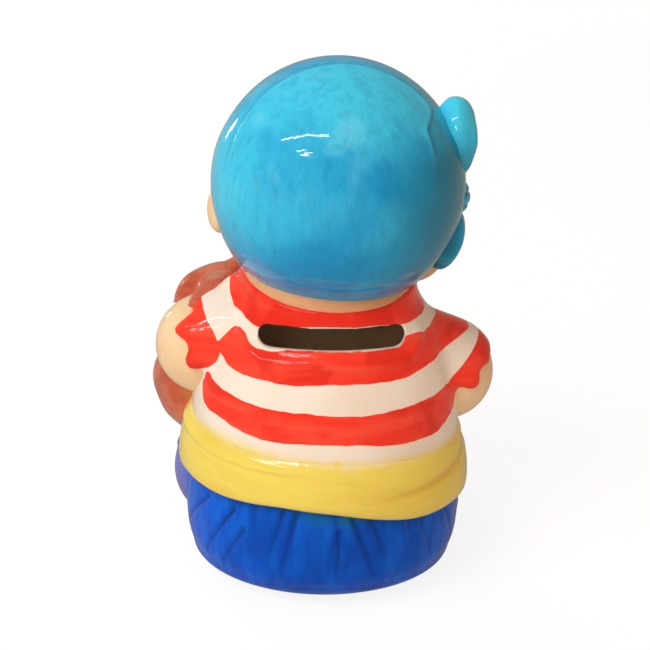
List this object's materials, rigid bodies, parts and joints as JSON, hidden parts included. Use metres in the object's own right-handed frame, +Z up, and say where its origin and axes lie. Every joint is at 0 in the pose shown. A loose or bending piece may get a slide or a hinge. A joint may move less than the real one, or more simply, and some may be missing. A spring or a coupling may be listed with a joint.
{
  "type": "figural money box",
  "caption": "Seated sailor money box in glazed ceramic, hugging a sack, with a coin slot across its back and a soft stopper in its base.",
  "frame": {"origin": "centre of the foot ring, on the plane that the figure stands on", "axes": "+Z up; the figure faces -Y and the coin slot looks towards +Y; +X is the figure's own left"},
  "size_m": [0.098, 0.1102, 0.1472],
  "materials": {
    "trousers": "cobalt blue underglaze paint under a clear gloss glaze",
    "shirt": "cream white body with brushed red bands under a clear gloss glaze",
    "sash": "yellow underglaze paint, sprayed soft at its edge, under a clear gloss glaze",
    "skin": "pale peach underglaze paint under a clear gloss glaze",
    "scarf": "turquoise blue underglaze paint, brushed and streaky, under a clear gloss glaze",
    "sack": "red brown underglaze wash under a clear gloss glaze",
    "sack_tie": "straw coloured underglaze paint under a clear gloss glaze",
    "boots": "dark brown underglaze paint under a clear gloss glaze",
    "stopper": "soft milky vinyl, matt"
  },
  "bodies": {
    "figure": {"seat_shell": "trousers", "left_leg": "trousers", "right_leg": "trousers", "torso_shell": "shirt", "left_sleeve": "shirt", "right_sleeve": "shirt", "sash": "sash", "face_shell": "skin", "left_ear": "skin", "nose": "skin", "left_arm": "skin", "right_arm": "skin", "left_hand": "skin", "right_hand": "skin", "scarf_crown": "scarf", "scarf_band": "scarf", "scarf_knot": "scarf", "scarf_loop": "scarf", "scarf_tail": "scarf", "loot_sack": "sack", "sack_neck": "sack", "sack_tie": "sack_tie", "left_boot": "boots", "right_boot": "boots"},
    "stopper": {"stopper": "stopper"}
  },
  "joints": [
    {"name": "stopper_pull", "type": "slide", "parent": "figure", "child": "stopper", "axis": [0, 0, -1], "range_m": [0, 0.02]}
  ]
}
